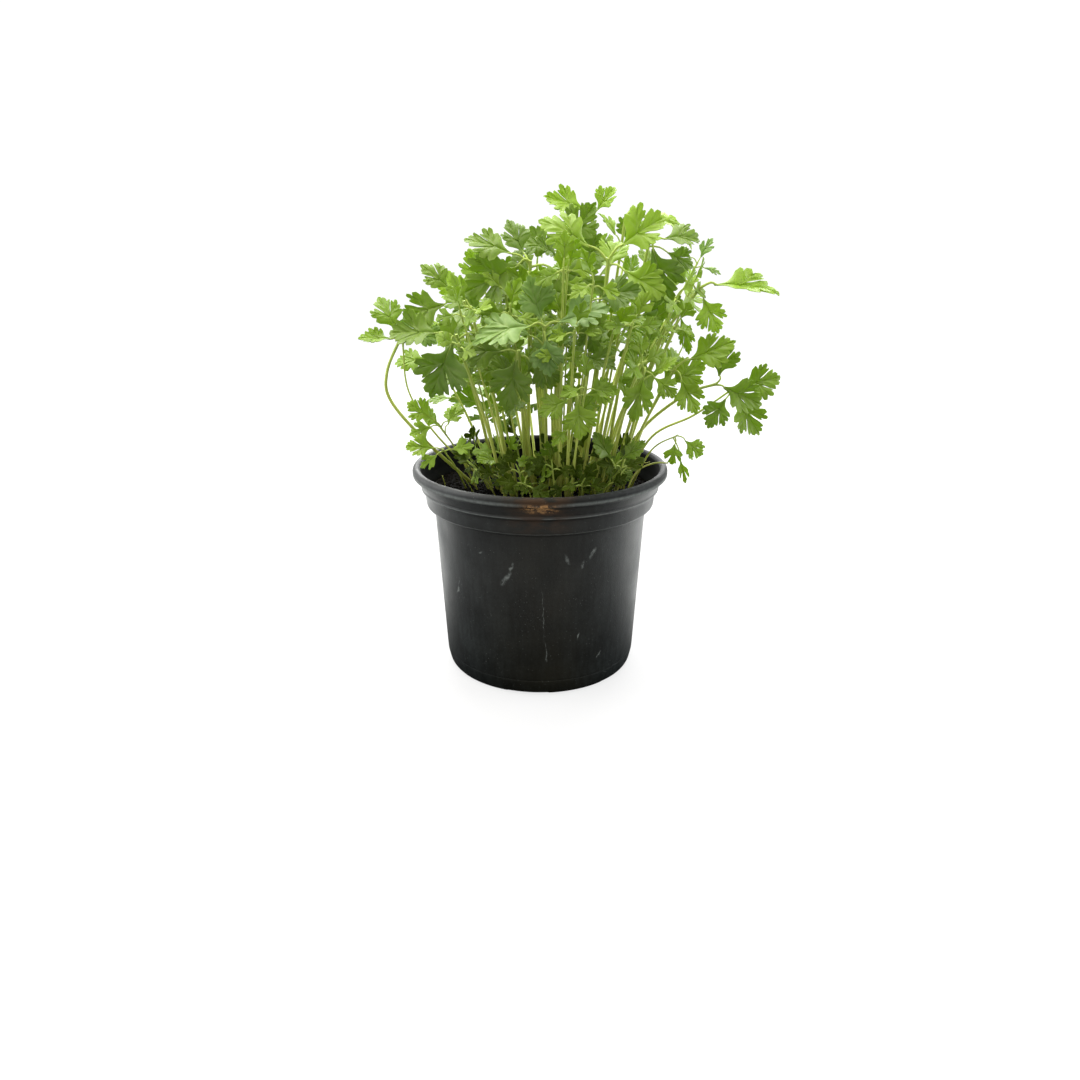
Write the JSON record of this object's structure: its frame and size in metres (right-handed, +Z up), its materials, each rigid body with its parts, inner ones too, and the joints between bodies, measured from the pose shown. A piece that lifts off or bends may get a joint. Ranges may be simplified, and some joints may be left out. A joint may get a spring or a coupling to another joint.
{
  "type": "potted parsley",
  "caption": "Flat-leaf parsley growing in a filled black plastic nursery pot, with thin stalks and lobed, toothed leaflets.",
  "frame": {"origin": "middle of the pot's underside, in the plane of the surface it stands on", "axes": "+Z up; the picture looks along +Y from a little above the rim, with +X to its right"},
  "size_m": [0.2328, 0.1787, 0.2766],
  "materials": {
    "pot": "satin",
    "soil": "matte",
    "leaf_bright": "satin",
    "leaf_fresh": "satin",
    "leaf_deep": "satin",
    "leaf_pale": "satin"
  },
  "bodies": {
    "root": {"pot": "pot", "soil": "soil", "frond_01": "leaf_bright", "frond_02": "leaf_bright", "frond_03": "leaf_deep", "frond_04": "leaf_deep", "frond_05": "leaf_fresh", "frond_06": "leaf_pale", "frond_07": "leaf_deep", "frond_08": "leaf_deep", "frond_09": "leaf_deep", "frond_10": "leaf_bright", "frond_11": "leaf_bright", "frond_12": "leaf_deep", "frond_13": "leaf_pale", "frond_14": "leaf_fresh", "frond_15": "leaf_fresh", "frond_16": "leaf_bright", "frond_17": "leaf_fresh", "frond_18": "leaf_deep", "frond_19": "leaf_deep", "frond_20": "leaf_deep", "frond_21": "leaf_pale", "frond_22": "leaf_bright", "frond_23": "leaf_bright", "frond_24": "leaf_bright", "frond_25": "leaf_fresh", "frond_26": "leaf_deep", "frond_27": "leaf_fresh", "frond_28": "leaf_deep", "frond_29": "leaf_fresh", "frond_30": "leaf_deep", "frond_31": "leaf_fresh", "frond_32": "leaf_deep", "frond_33": "leaf_bright", "frond_34": "leaf_fresh", "frond_35": "leaf_fresh", "frond_36": "leaf_fresh", "frond_37": "leaf_deep", "frond_38": "leaf_deep", "frond_39": "leaf_deep", "frond_40": "leaf_fresh", "frond_41": "leaf_deep", "frond_42": "leaf_bright", "frond_43": "leaf_deep", "frond_44": "leaf_fresh", "frond_45": "leaf_fresh", "frond_46": "leaf_deep", "frond_47": "leaf_bright", "frond_48": "leaf_bright"}
  },
  "joints": []
}
